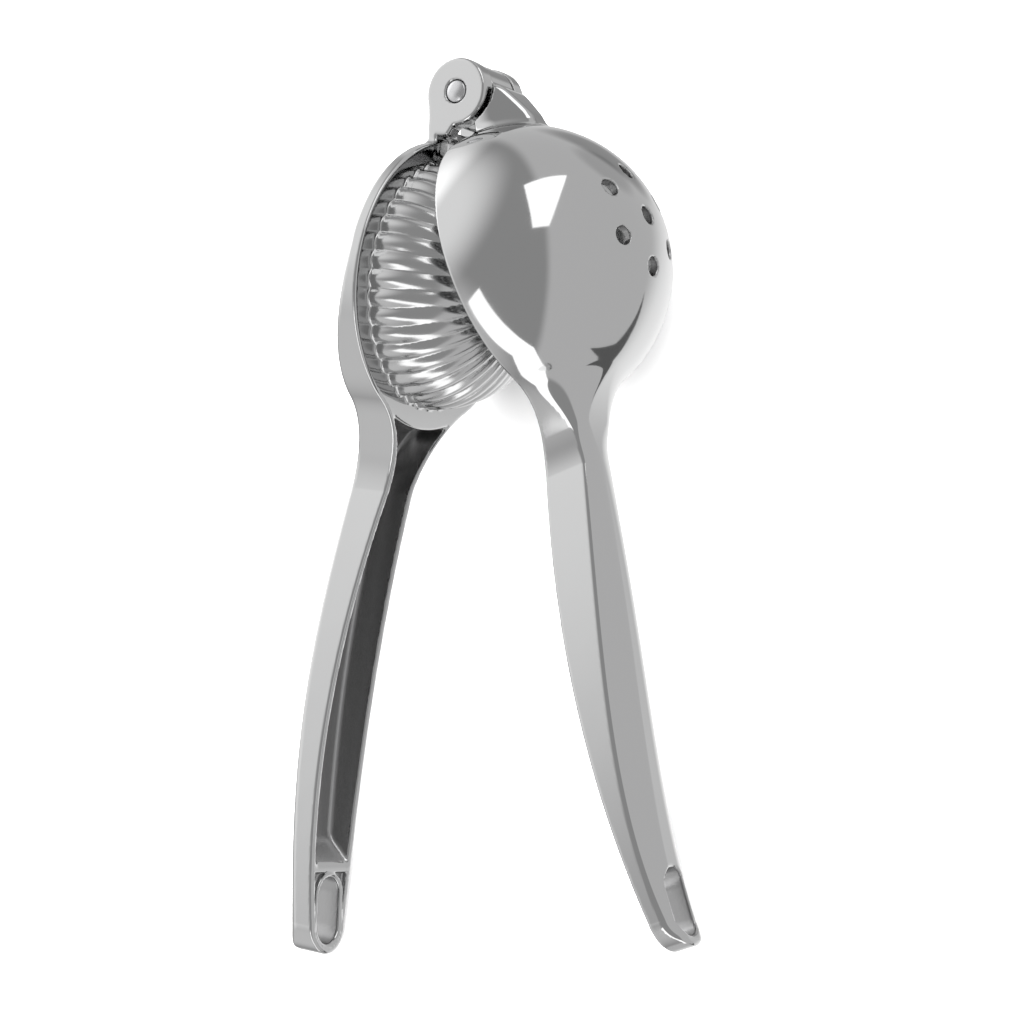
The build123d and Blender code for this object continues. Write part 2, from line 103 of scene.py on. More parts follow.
class SqueezerSizes(bpy.types.PropertyGroup):
    """Sizes of the two castings and their pin."""

    rim_reach: length("Rim reach", 11.5, "Hinge axis to the near edge of the bowls")
    bowl_radius: length("Bowl radius", 35.0, "Outer radius of the cup and of the flange")
    rim_drop: length("Rim drop", 0.6, "Cup rim to the hinge plane")
    rim_gap: length("Rim gap", 2.6, "Cup rim to the flange when closed")
    cup_wall: length("Cup wall", 2.6, "Thickness of the cup")
    cup_skirt: length("Cup skirt", 1.6, "Straight band at the rim of the cup")
    flange_thickness: length("Flange thickness", 3.4, "Thickness of the flange at the hinge end")
    flange_ramp_reach: length("Flange ramp", 34.0, "Reach where the back of the flange starts to fall away")
    drain_diameter: length("Drain hole", 4.4, "Diameter of a drain hole")
    drain_ring_radius: length("Drain ring", 12.3, "Radius of the ring of drain holes")
    drain_count: IntProperty(name="Drain holes", description="Holes in the ring", default=6, min=3)
    plunger_radius: length("Plunger radius", 30.2, "Radius of the fluted plunger at its foot")
    plunger_height: length("Plunger height", 26.5, "Flange to the plunger's nose")
    plunger_wall: length("Plunger wall", 2.6, "Metal left over the hollow behind the plunger")
    flute_count: IntProperty(name="Flutes", description="Bows round the plunger", default=40, min=8)
    flute_depth: length("Flute depth", 0.95, "Depth of the valleys between the bows")
    nose_radius: length("Nose radius", 5.0, "Smooth nose inside the flutes")
    valley_round: amount("Valley rounding", 0.16, "Rounding of the valleys, as a share of a bow")
    neck_reach: length("Neck reach", 98.0, "Hinge axis to the thinnest part of the handle")
    swell_reach: length("Swell reach", 128.0, "Hinge axis to the swelling handle")
    grip_reach: length("Grip reach", 162.0, "Hinge axis to the widest part of the handle")
    wrist_reach: length("Wrist reach", 188.0, "Hinge axis to where the handle thins out")
    end_reach: length("End reach", 212.0, "Hinge axis to the end of the handle")
    neck_half: length("Neck half width", 6.0, "Half the handle's width at the neck")
    swell_half: length("Swell half width", 8.4, "Half the handle's width at the swell")
    grip_half: length("Grip half width", 9.5, "Half the handle's width at the grip")
    end_radius: length("End radius", 7.0, "Radius of the handle's round end")
    flare_radius: length("Flare radius", 25.0, "Hollow curve from bowl to neck")
    handle_gap: length("Handle gap", 1.2, "Gap between the handles when closed")
    neck_drop: length("Neck drop", 6.3, "Hinge plane to the parting curve at the neck")
    swell_drop: length("Swell drop", 10.7, "Hinge plane to the parting curve at the swell")
    grip_drop: length("Grip drop", 12.6, "Hinge plane to the parting curve at the grip")
    end_drop: length("End drop", 9.4, "Hinge plane to the parting curve at the end")
    cup_neck_depth: length("Cup neck depth", 13.0, "Depth of the cup arm's handle at the neck")
    cup_swell_depth: length("Cup swell depth", 14.4, "Depth of the cup arm's handle at the swell")
    cup_grip_depth: length("Cup grip depth", 11.8, "Depth of the cup arm's handle at the grip")
    cup_wrist_depth: length("Cup wrist depth", 8.4, "Depth of the cup arm's handle at the wrist")
    cup_end_depth: length("Cup end depth", 6.4, "Depth of the cup arm's handle at the end")
    cup_throat_radius: length("Cup throat", 22.0, "Hollow curve from dome to handle")
    plunger_neck_depth: length("Plunger neck depth", 12.0, "Depth of the plunger arm's handle at the neck")
    plunger_swell_depth: length("Plunger swell depth", 11.8, "Depth of the plunger arm's handle at the swell")
    plunger_grip_depth: length("Plunger grip depth", 10.9, "Depth of the plunger arm's handle at the grip")
    plunger_wrist_depth: length("Plunger wrist depth", 9.4, "Depth of the plunger arm's handle at the wrist")
    plunger_end_depth: length("Plunger end depth", 8.2, "Depth of the plunger arm's handle at the end")
    crest_neck_half: length("Crest half at neck", 2.5, "Half the flat crest's width at the neck")
    crest_grip_half: length("Crest half at grip", 3.3, "Half the flat crest's width at the grip")
    crest_end_half: length("Crest half at end", 4.0, "Half the flat crest's width at the end")
    facet_neck_drop: length("Facet drop at neck", 1.5, "Fall of the slanting facets at the neck")
    facet_grip_drop: length("Facet drop at grip", 4.0, "Fall of the slanting facets at the grip")
    facet_end_drop: length("Facet drop at end", 2.0, "Fall of the slanting facets at the end")
    channel_wall: length("Channel wall", 1.7, "Metal on each side of the handle's channel")
    channel_draft: length("Channel draft", 1.0, "How much the channel narrows to its floor")
    channel_floor: length("Channel floor", 3.4, "Metal under the channel")
    channel_end_slope: length("Channel end slope", 6.0, "Slope at the channel's far end")
    channel_fillet: length("Channel fillet", 1.4, "Rounding inside the channel")
    eye_land: length("Eye land", 2.9, "Metal between the channel and the eye")
    eye_inset: length("Eye inset", 10.6, "Handle's end to the middle of the eye")
    eye_length: length("Eye length", 16.0, "Length of the hang eye")
    eye_width: length("Eye width", 8.6, "Width of the hang eye")
    eye_collar: length("Eye collar", 1.3, "Raised collar round the eye")
    eye_recess: length("Eye recess", 1.5, "Depth of the recess round the collar")
    cup_back_wall: length("Cup back wall", 3.4, "Metal between the cup and its channel")
    flange_back_wall: length("Flange back wall", 0.4, "Flange edge to its channel")
    pin_diameter: length("Pin diameter", 5.4, "Diameter of the hinge pin")
    pin_dome: length("Pin dome", 0.7, "Height of the pin's domed ends")
    pin_sink: length("Pin sink", 0.2, "How far the dome's edge lies below the ear")
    pin_bore_play: length("Bore play", 0.16, "Room round the pin in its bore")
    ear_radius: length("Ear radius", 8.3, "Radius of a hinge ear")
    ear_thickness: length("Ear thickness", 4.0, "Thickness of a hinge ear")
    ear_clearance: length("Ear clearance", 0.8, "Room for the ears to turn in")
    hinge_half: length("Hinge half width", 9.2, "Half the width over both ears")
    side_clearance: length("Side clearance", 0.25, "Ear to lug")
    stem_front: length("Stem front", 0.9, "Front of the ear's stem")
    stem_toe: length("Stem toe", -0.8, "Front of the ear's stem where it meets the flange")
    stem_toe_rise: length("Stem toe rise", 3.0, "Height of the slope at the stem's toe")
    stem_back_top: length("Stem back top", 7.7, "Back of the stem at the ear")
    stem_back_foot: length("Stem back foot", 6.0, "Back of the stem at the flange")
    lug_radius: length("Lug radius", 8.0, "Radius of the tongue between the ears")
    lug_half: length("Lug half width", 8.4, "Half the width of the lug's root")
    lug_crest_half: length("Lug crest half", 3.5, "Half the width of the lug's crest")
    lug_front: length("Lug front", 1.9, "Front of the lug's root")
    lug_top_reach: length("Lug top reach", 2.2, "Reach of the lug's top corner")
    lug_top_rise: length("Lug top rise", 10.5, "Rise of the lug's top corner")
    lug_shoulder_reach: length("Lug shoulder reach", 5.0, "Reach of the lug's shoulder")
    lug_shoulder_rise: length("Lug shoulder rise", 12.2, "Rise of the lug's shoulder")
    lug_foot_reach: length("Lug foot reach", 12.0, "Reach where the lug meets the dome")
    lug_foot_rise: length("Lug foot rise", 15.4, "Rise where the lug meets the dome")
    edge_round: length("Edge rounding", 0.9, "Polished rounding of the outer edges")
    ridge_round: length("Ridge rounding", 0.9, "Polished rounding of the ridges beside the crest")
    throat_length: length("Throat length", 12.0, "How soon the round throat turns into the ridged handle")
    lug_blend: length("Lug blend", 2.6, "Fillet between the dome and the lug")
    mesh_pitch: length("Mesh pitch", 0.5, "Spacing of the castings' mesh")


class SqueezerFinish(bpy.types.PropertyGroup):
    """Finishes of the metal, and the shade painted darker into its recesses."""

    chrome_colour: colour("Chrome", (0.555, 0.556, 0.557), "Tint of the plating")
    chrome_roughness: amount("Chrome roughness", 0.055, "Haze of the polished plating")
    chrome_haze: amount("Chrome haze", 0.035, "How much handling marks add to the roughness")
    chrome_ripple: amount("Chrome ripple", 0.02, "Strength of the slight waviness left by polishing")
    satin_roughness: amount("Satin roughness", 0.17, "Haze of the flutes, which the wheel hardly reaches")
    # Darker than the plating: painted shade in the channels, the eye and the drain holes, on top of the
    # rougher plating there.
    recess_shade_colour: colour("Recess", (0.42, 0.42, 0.422), "Tint of the unpolished plating in the recesses")
    recess_roughness: amount("Recess roughness", 0.3, "Haze of the unpolished plating")
    pin_colour: colour("Pin steel", (0.60, 0.60, 0.61), "Tint of the pin's steel")
    pin_roughness: amount("Pin roughness", 0.2, "Haze of the pin's turned ends")


class SqueezerStage(bpy.types.PropertyGroup):
    """Floor, light and camera."""

    floor_colour: colour("Floor", (0.93, 0.93, 0.93), "Pale floor")
    floor_size: length("Floor size", 3000.0, "Side of the floor")
    room_shade: amount("Room shade", 0.40, "Brightness of the room above the pale sweep")
    room_sweep: amount("Room sweep", 0.70, "Brightness of the pale sweep that the plating mirrors")
    room_side: amount("Room side", 0.75, "Extra brightness on the far side of the room")
    room_near: amount("Room near", 0.42, "Extra brightness on the near side of the room")
    room_window: amount("Room window", 0.9, "Extra brightness low on the far side of the room")
    room_dusk: amount("Room dusk", 0.32, "How much darker the room is low beyond the cup")
    room_foot: amount("Room foot", 0.55, "Extra brightness under the tool")
    flag_strength: amount("Flag strength", 0.15, "Brightness of the dark flag in front of the cup")
    card_strength: amount("Card strength", 2.0, "Brightness of the white cards round the tool")
    top_power: amount("Top power", 600.0, "Power of the overhead light, in watts")
    top_size: length("Top size", 8000.0, "Side of the overhead light")
    top_height: length("Top height", 2000.0, "Floor to the overhead light")
    camera_place: FloatVectorProperty(
        name="Camera place", description="Where the camera stands",
        default=(0.38923, -0.21168, 0.60612), size=3, subtype="TRANSLATION",
    )
    camera_aim: FloatVectorProperty(
        name="Camera aim", description="Point in the middle of the picture",
        default=(0.00935, -0.00118, 0.02), size=3, subtype="TRANSLATION",
    )
    camera_roll: FloatProperty(
        name="Camera roll", description="Turn of the picture about its middle", default=math.radians(-63.78),
        subtype="ANGLE",
    )
    camera_lens: amount("Camera lens", 106.5, "Focal length in millimetres")


# Distances to a surface, below nought inside the metal


def soft_max(a, b, blend):
    """The greater distance, with the corner between the two rounded over."""
    near = np.maximum(blend - np.abs(a - b), 0.0)
    return np.maximum(a, b) + near * near / (4 * blend)


def soft_min(a, b, blend):
    """The lesser distance, with a fillet in the corner between the two."""
    return -soft_max(-a, -b, blend)


def round_max(a, b, radius):
    """The greater distance, with a true quarter round on the corner."""
    corner = np.hypot(np.maximum(a + radius, 0), np.maximum(b + radius, 0))
    return np.minimum(np.maximum(a, b), -radius) + corner


def carve(body, tool, blend):
    """A body with the tool's shape cut out of it and the edge rounded."""
    return soft_max(body, -tool, blend)


def convex(corners, blend, a, b):
    """Distance outside a convex outline, its corners rounded."""
    corners = np.array(corners)
    middle = corners.mean(axis=0)
    whole = None
    for start, end in zip(corners, np.roll(corners, -1, axis=0)):
        along = (end - start) / np.hypot(*(end - start))
        out = np.array([along[1], -along[0]])
        if out @ (middle - start) > 0:
            out = -out
        edge = (a - start[0]) * out[0] + (b - start[1]) * out[1]
        whole = edge if whole is None else soft_max(whole, edge, blend)
    return whole


# Curves along an arm

# Places along an arm, from behind the hinge to past the handle's end
REACH_STEP = 0.05
REACHES = np.arange(-14.0, 218.0, REACH_STEP)

FACET_START = 3.0
LEAST_FACET_RUN = 0.05
LEAST_FACET_FALL = 0.02
THROAT_FADE = 1.6
FLANGE_BEVEL = 0.6


class Profile:
    """A value that changes along the arm."""

    def __init__(self, curve):
        self.values = curve(REACHES)
        self.slopes = np.gradient(self.values, REACH_STEP)

    def at(self, reach):
        """The value at a reach."""
        return np.interp(reach, REACHES, self.values)

    def lean(self, reach):
        """Cosine of the curve's slope, which turns a height into a distance."""
        return 1 / np.hypot(1, np.interp(reach, REACHES, self.slopes))


def ease(share):
    """A share from nought to one that starts and ends softly."""
    share = np.clip(share, 0, 1)
    return share * share * (3 - 2 * share)


def smooth(points, at):
    """The smooth curve through a few (reach, value) points."""
    total = 0.0
    for i, (reach, value) in enumerate(points):
        weight = 1.0
        for j, (other, _) in enumerate(points):
            if j != i:
                weight = weight * (at - other) / (reach - other)
        total = total + value * weight
    return total


def eased(start, level, end, curve, reach):
    """Flat at one level up to the start, then a soft ramp that runs into the curve at the end."""
    step = 0.01
    slope = (curve(end + step) - curve(end)) / step
    s = np.clip((reach - start) / (end - start), 0, 1)
    ramp = level + (curve(end) - level) * ease(s) + slope * (end - start) * s * s * (s - 1)
    return np.where(reach >= end, curve(np.maximum(reach, end)), ramp)


def in_mm(sizes):
    """The lengths as plain numbers in millimetres, counts and shares as they are."""
    plain = SimpleNamespace()
    for name, item in sizes.bl_rna.properties.items():
        if name in sizes.__annotations__:
            value = getattr(sizes, name)
            setattr(plain, name, value / MM if item.unit == "LENGTH" else value)
    return plain


def arm_sizes(sizes):
    """The sizes, what follows from them, and the curves along both arms."""
    s = in_mm(sizes)
    s.bowl_reach = s.rim_reach + s.bowl_radius
    s.eye_reach = s.end_reach - s.eye_inset
    s.channel_end_reach = s.eye_reach - s.eye_length / 2 - s.eye_land
    s.flare_half = s.neck_half + s.flare_radius
    s.flare_reach = s.bowl_reach + math.sqrt((s.bowl_radius + s.flare_radius) ** 2 - s.flare_half**2)
    flare_share = s.bowl_radius / (s.bowl_radius + s.flare_radius)
    s.tangent_reach = s.bowl_reach + (s.flare_reach - s.bowl_reach) * flare_share
    s.tip_reach = s.end_reach - s.end_radius
    s.rim_x = -s.rim_drop
    s.dome_x = s.rim_x + s.cup_skirt
    s.inner_radius = s.bowl_radius - s.cup_wall
    s.flange_x = s.rim_x - s.rim_gap
    s.flange_back = s.flange_x - s.flange_thickness
    s.tongue_half = s.hinge_half - s.ear_thickness - s.side_clearance
    s.ear_sweep = s.ear_radius + s.ear_clearance
    s.bore_radius = s.pin_diameter / 2 + s.pin_bore_play
    handle_curves(s)
    cup_curves(s)
    plunger_curves(s)
    return s


def handle_curves(s):
    """Curves that both handles share."""

    def half(reach):
        bowl = np.sqrt(np.maximum(s.bowl_radius**2 - np.maximum(reach - s.bowl_reach, 0) ** 2, 0))
        flare = s.flare_half - np.sqrt(np.maximum(s.flare_radius**2 - (s.flare_reach - reach) ** 2, 0))
        points = [(s.flare_reach, s.neck_half), (s.swell_reach, s.swell_half), (s.grip_reach, s.grip_half)]
        grip = smooth(points + [(s.tip_reach, s.end_radius)], reach)
        return np.where(reach <= s.tangent_reach, bowl, np.where(reach <= s.flare_reach, flare, grip))

    def parting(reach):
        points = [(s.neck_reach, s.neck_drop), (s.swell_reach, s.swell_drop), (s.grip_reach, s.grip_drop)]
        return smooth(points + [(s.end_reach, s.end_drop)], reach)

    def from_neck(neck, grip, end):
        """A curve through its values at the neck, the grip and the end, level before the neck."""
        points = [(s.neck_reach, neck), (s.grip_reach, grip), (s.end_reach, end)]
        return lambda reach: smooth(points, np.maximum(reach, s.neck_reach))

    s.half = Profile(half)
    s.parting = parting
    s.crest_half = from_neck(s.crest_neck_half, s.crest_grip_half, s.crest_end_half)
    s.facet_drop = from_neck(s.facet_neck_drop, s.facet_grip_drop, s.facet_end_drop)


def cup_curves(s):
    """Front, crest, channel floor, facets and throat of the cup arm."""

    def parted(reach):
        return s.handle_gap / 2 - s.parting(reach)

    def front(reach):
        return eased(s.tangent_reach, s.rim_x, s.neck_reach, parted, reach)

    base = front(s.neck_reach) + s.cup_neck_depth
    both_radii = s.bowl_radius + s.cup_throat_radius
    span = math.sqrt(both_radii**2 - (base + s.cup_throat_radius - s.dome_x) ** 2)
    throat_reach = s.bowl_reach + span
    dome_reach = s.bowl_reach + span * s.bowl_radius / both_radii
    depths = [(s.swell_reach, s.cup_swell_depth), (s.grip_reach, s.cup_grip_depth)]
    depths += [(s.wrist_reach, s.cup_wrist_depth), (s.end_reach, s.cup_end_depth)]
    points = [(throat_reach, base)] + [(reach, front(reach) + depth) for reach, depth in depths]

    def crest(reach):
        dome = s.dome_x + np.sqrt(np.maximum(s.bowl_radius**2 - (reach - s.bowl_reach) ** 2, 0))
        fall = np.clip(throat_reach - reach, 0, s.cup_throat_radius)
        throat = base + s.cup_throat_radius - np.sqrt(s.cup_throat_radius**2 - fall**2)
        back = smooth(points, np.maximum(reach, throat_reach))
        return np.where(reach <= dome_reach, dome, np.where(reach <= throat_reach, throat, back))

    def facet_share(reach):
        """Nought where the handle leaves the dome, one from the neck on."""
        start = s.tangent_reach + FACET_START
        return ease((reach - start) / (s.neck_reach - start))

    def facet_run(reach):
        run = s.half.at(np.maximum(reach, s.neck_reach)) - s.crest_half(reach)
        return LEAST_FACET_RUN + run * facet_share(reach)

    def throat_share(reach):
        """One where the handle is a round throat, and nought where it is ridged."""
        past = np.maximum(reach - s.tangent_reach, 0) / s.throat_length
        return np.exp(-(past**THROAT_FADE))

    s.cup_front = Profile(front)
    s.cup_crest = Profile(crest)
    s.cup_floor = Profile(lambda reach: crest(np.maximum(reach, throat_reach)) - s.channel_floor)
    s.cup_facet_run = Profile(facet_run)
    s.cup_facet_fall = Profile(lambda reach: LEAST_FACET_FALL + s.facet_drop(reach) * facet_share(reach))
    s.throat_share = Profile(throat_share)


def plunger_curves(s):
    """Front, back, channel floor and facets of the plunger arm."""

    def parted(reach):
        return -s.handle_gap / 2 - s.parting(reach)

    def front(reach):
        return eased(s.tangent_reach, s.flange_x, s.neck_reach, parted, reach)

    depths = [(s.neck_reach, s.plunger_neck_depth), (s.swell_reach, s.plunger_swell_depth)]
    depths += [(s.grip_reach, s.plunger_grip_depth), (s.wrist_reach, s.plunger_wrist_depth)]
    depths += [(s.end_reach, s.plunger_end_depth)]

    def grip_back(reach):
        return front(reach) - smooth(depths, reach)

    def crest(reach):
        return eased(s.flange_ramp_reach, s.flange_back, s.neck_reach, grip_back, reach)

    def root(reach, at_neck):
        """From the flange's small bevel to a value at the neck."""
        share = np.clip((reach - s.flange_ramp_reach) / (s.neck_reach - s.flange_ramp_reach), 0, 1)
        return FLANGE_BEVEL + (at_neck - FLANGE_BEVEL) * share

    def run(reach):
        grip = s.half.at(reach) - s.crest_half(reach)
        return np.where(reach < s.neck_reach, root(reach, s.neck_half - s.crest_neck_half), grip)

    def fall(reach):
        return np.where(reach < s.neck_reach, root(reach, s.facet_neck_drop), s.facet_drop(reach))

    s.plunger_front = Profile(front)
    s.plunger_crest = Profile(crest)
    s.plunger_floor = Profile(lambda reach: crest(reach) + s.channel_floor)
    s.plunger_facet_run = Profile(run)
    s.plunger_facet_fall = Profile(fall)


# Shapes shared by the two castings

# Small roundings and fillets where surfaces meet, in millimetres
FINE_ROUND = 0.3
TONGUE_ROUND = 0.4
CORNER_ROUND = 0.5
LIP_ROUND = 0.6
FLUTE_FILLET = 0.7
RIM_ROUND = 0.8
EYE_ROUND = 0.9
LUG_ROUND = 1.0
EAR_FILLET = 1.2
SLANT_ROUND = 1.4

# A distance beyond any in a casting, and one too small to matter
FAR = 99.0
TINY = 0.001

# Least depth of a channel, and how far outside it the draft of its walls goes on, as shares of the depth
LEAST_DEPTH = 1.0
DRAFT_LIMITS = (-1.0, 1.2)


def plan(s, reach, z):
    """Distance outside an arm's outline, seen square on to the bowls."""
    bowl = np.hypot(reach - s.bowl_reach, z) - s.bowl_radius
    flare = s.flare_radius - np.hypot(reach - s.flare_reach, z - s.flare_half)
    grip = (z - s.half.at(reach)) * s.half.lean(reach)
    end = np.hypot(reach - s.tip_reach, z) - s.end_radius
    beside_bowl = z * (s.flare_reach - s.bowl_reach) > (reach - s.bowl_reach) * s.flare_half
    beside_flare = np.maximum(np.where(reach < s.tangent_reach, bowl, -FAR), flare)
    root = np.where(beside_bowl, bowl, beside_flare)
    return np.where(reach < s.flare_reach, root, np.where(reach < s.tip_reach, grip, end))


def facet(crest_away, z, half, run, fall):
    """Distance outside the slanting facet beside a crest."""
    return (crest_away * run + (z - half + run) * fall) / np.hypot(run, fall)


def eye(s, reach, z):
    """Distance outside the oblong hang eye."""
    straight = (s.eye_length - s.eye_width) / 2
    return np.hypot(np.maximum(np.abs(reach - s.eye_reach) - straight, 0), z) - s.eye_width / 2


def channel(s, down, deep, lean, reach, z, bowl_wall):
    """Distance outside the trough cut into a handle, from the depth below its face."""
    deep = np.maximum(deep, LEAST_DEPTH)
    share = np.clip(down / deep, *DRAFT_LIMITS)
    wall = z - (s.half.at(reach) - s.channel_wall - s.channel_draft * share)
    start = s.bowl_radius + bowl_wall - np.hypot(reach - s.bowl_reach, z)
    start = np.maximum(start, s.tangent_reach - reach)
    slope = s.channel_end_slope
    end = (reach - s.channel_end_reach + slope * share) / np.hypot(1, slope / deep)
    trough = soft_max((down - deep) * lean, wall, s.channel_fillet)
    return soft_max(trough, soft_max(start, end, CORNER_ROUND), s.channel_fillet)


def eye_pocket(s, down, reach, z):
    """Distance outside the shallow recess round the eye's collar."""
    start = s.channel_end_reach + s.channel_wall - reach
    inside = soft_max(plan(s, reach, z) + s.channel_wall, start, LIP_ROUND)
    pocket = soft_max(down - s.eye_recess, inside, LIP_ROUND)
    return soft_max(pocket, s.eye_collar - eye(s, reach, z), CORNER_ROUND)


def handle_cuts(s, body, down, deep, lean, reach, z, bowl_wall):
    """A casting with the channel, the pocket and the eye cut into its handle."""
    body = carve(body, channel(s, down, deep, lean, reach, z, bowl_wall), LIP_ROUND)
    body = carve(body, eye_pocket(s, down, reach, z), CORNER_ROUND)
    return carve(body, eye(s, reach, z), EYE_ROUND)


# Finishes of a casting, by the number of their material; the second is rough plating with painted shade in
# the recesses

POLISHED, DULL_SHADED, SATIN = 0, 1, 2

# How near to a shape a face belongs to it, and how deep a recess starts to be rough and painted darker as
# shade
SKIN = 0.2
RECESS_DEPTH = 1.0


def recess(s, down, deep, lean, reach, z, bowl_wall):
    """Distance outside the places in a handle that the polishing wheel doesn't reach, which get rough plating
    painted darker as shade: channel and eye.
    """
    trough = channel(s, down, deep, lean, reach, z, bowl_wall)
    trough = np.minimum(trough, eye_pocket(s, down, reach, z))
    return np.maximum(np.minimum(trough, eye(s, reach, z)), RECESS_DEPTH - down)


# Cup casting

# The lug's top and the foot of its slanting sides, as shares of its rise
LUG_TOP_SHARE = 0.6
LUG_SLANT_SHARE = 0.5

# How far the handle runs into the dome, and how far from the dome's centre the drain holes start
HANDLE_LAP = 3.0
DRAIN_START = 5.0


def lug(s, x, reach, z):
    """Distance outside the block that carries the cup on the hinge."""
    outline = [
        (s.lug_front, 0),
        (s.lug_top_rise * LUG_TOP_SHARE, 0),
        (s.lug_top_rise, s.lug_top_reach),
        (s.lug_shoulder_rise, s.lug_shoulder_reach),
        (s.lug_foot_rise, s.lug_foot_reach),
        (s.lug_foot_rise, s.bowl_reach / 2),
        (s.lug_front, s.bowl_reach / 2),
    ]
    side = convex(outline, LUG_ROUND, x, reach)
    run = s.lug_half - s.lug_crest_half
    rise = s.lug_foot_rise - s.lug_top_rise * LUG_SLANT_SHARE
    slant = ((x - s.lug_foot_rise) * run + (z - s.lug_crest_half) * rise) / np.hypot(run, rise)
    block = soft_max(soft_max(side, slant, SLANT_ROUND), z - s.lug_half, LUG_ROUND)
    tongue = soft_max(np.hypot(x, reach) - s.lug_radius, z - s.tongue_half, TONGUE_ROUND)
    return soft_min(block, tongue, LUG_ROUND)


def drains(s, x, reach, z):
    """Distance outside each drain hole on the near side, drilled square to the dome."""
    angle = math.asin(s.drain_ring_radius / s.bowl_radius)
    axes = [(1.0, 0.0, 0.0)]
    for i in range(s.drain_count):
        turn = 2 * math.pi * i / s.drain_count
        axes.append((math.cos(angle), math.sin(angle) * math.cos(turn), math.sin(angle) * math.sin(turn)))
    px, py = x - s.dome_x, reach - s.bowl_reach
    for ax, ay, az in axes:
        if az >= -TINY:
            along = px * ax + py * ay + z * az
            away = np.sqrt(np.maximum(px * px + py * py + z * z - along * along, 0))
            yield np.maximum(away - s.drain_diameter / 2, DRAIN_START - along)


def cup_handle(s, x, reach, z):
    """Distance outside the cup arm's handle, a round throat that turns into a ridged back."""
    crest_away = x - s.cup_crest.at(reach)
    half = s.half.at(reach)
    throat = s.throat_share.at(reach)
    lean = s.cup_crest.lean(reach)
    side = plan(s, reach, z) * (1 - throat) + (z - half) * throat
    back = crest_away * (lean + (1 - lean) * throat)
    handle = round_max(side, back, s.edge_round + (half - s.edge_round) * throat)
    handle = handle * (1 + (s.half.lean(reach) - 1) * throat)
    slant = facet(crest_away, z, half, s.cup_facet_run.at(reach), s.cup_facet_fall.at(reach))
    handle = soft_max(handle, slant, s.ridge_round)
    return np.maximum(handle, s.tangent_reach - HANDLE_LAP - reach)


def cup_face(s, x, reach):
    """Depth of a point below the handle's face, and the depth and lean of the channel's floor there."""
    front = s.cup_front.at(reach)
    return x - front, s.cup_floor.at(reach) - front, s.cup_floor.lean(reach)


def cup_surface(s, x, reach, z):
    """Distance outside the cup casting."""
    z = np.abs(z)
    from_dome = np.sqrt(np.maximum(x - s.dome_x, 0) ** 2 + (reach - s.bowl_reach) ** 2 + z * z)
    from_pin = np.hypot(x, reach)
    body = np.minimum(cup_handle(s, x, reach, z), from_dome - s.bowl_radius)
    body = soft_max(body, (s.cup_front.at(reach) - x) * s.cup_front.lean(reach), s.edge_round)
    body = soft_min(body, lug(s, x, reach, z), s.lug_blend)
    body = carve(body, np.maximum(from_pin - s.ear_sweep, s.tongue_half - z), CORNER_ROUND)
    body = carve(body, from_dome - s.inner_radius, RIM_ROUND)
    body = handle_cuts(s, body, *cup_face(s, x, reach), reach, z, s.cup_back_wall)
    for drain in drains(s, x, reach, z):
        body = carve(body, drain, CORNER_ROUND)
    return carve(body, from_pin - s.bore_radius, FINE_ROUND)


def cup_finish_and_shade(s, x, reach, z):
    """Which finish the cup casting has at a point: rough and painted darker as shade in its handle's recesses
    and in the drain holes.
    """
    z = np.abs(z)
    dull_shade = recess(s, *cup_face(s, x, reach), reach, z, s.cup_back_wall)
    for drain in drains(s, x, reach, z):
        dull_shade = np.minimum(dull_shade, drain)
    # Faces in the recesses and drain holes take the rough plating with painted shade.
    return np.where(dull_shade < SKIN, DULL_SHADED, POLISHED)


# Plunger casting

# Where the flutes fade in outside the nose, as shares of its radius, and the greatest height that counts
FADE_START = 0.7
FADE_WIDTH = 0.6
MOST_RISE = 1.5

# How far the plunger, the ears' feet and their stems run into the flange
PLUNGER_LAP = 1.0
FOOT_LAP = 3.0
STEM_LAP = 0.5

# Where the back of an ear's stem starts, as a share of the ear's radius
STEM_TOP_SHARE = 0.2


def fluted_dome(s, x, reach, z):
    """Distance outside the fluted plunger."""
    across = np.hypot(reach - s.bowl_reach, z)
    turn = np.arctan2(z, s.bowl_reach - reach)
    bow = np.hypot(np.sin(turn * s.flute_count / 2), s.valley_round) / np.hypot(1, s.valley_round)
    rise = np.clip((x - s.flange_x) / s.plunger_height, 0, MOST_RISE)
    fade = ease((across - s.nose_radius * FADE_START) / (s.nose_radius * FADE_WIDTH))
    depth = s.flute_depth * np.sqrt(np.maximum(1 - rise**2, 0.0)) * fade
    wide = (across + depth * (1 - bow)) / s.plunger_radius
    swell = np.maximum(np.hypot(wide, rise), TINY)
    dome = (swell - 1) * swell / np.hypot(wide / s.plunger_radius, rise / s.plunger_height)
    return soft_max(dome, s.flange_x - PLUNGER_LAP - x, FINE_ROUND)


def hollow(s, x, reach, z):
    """Distance outside the hollow behind the plunger."""
    radius = s.plunger_radius - s.flute_depth - s.plunger_wall
    height = s.plunger_height - s.plunger_wall
    ball = (radius**2 + height**2) / (2 * height)
    centre = s.flange_x + height - ball
    across = np.hypot(reach - s.bowl_reach, z)
    return np.where(x > s.flange_x, np.hypot(x - centre, across) - ball, across - radius)


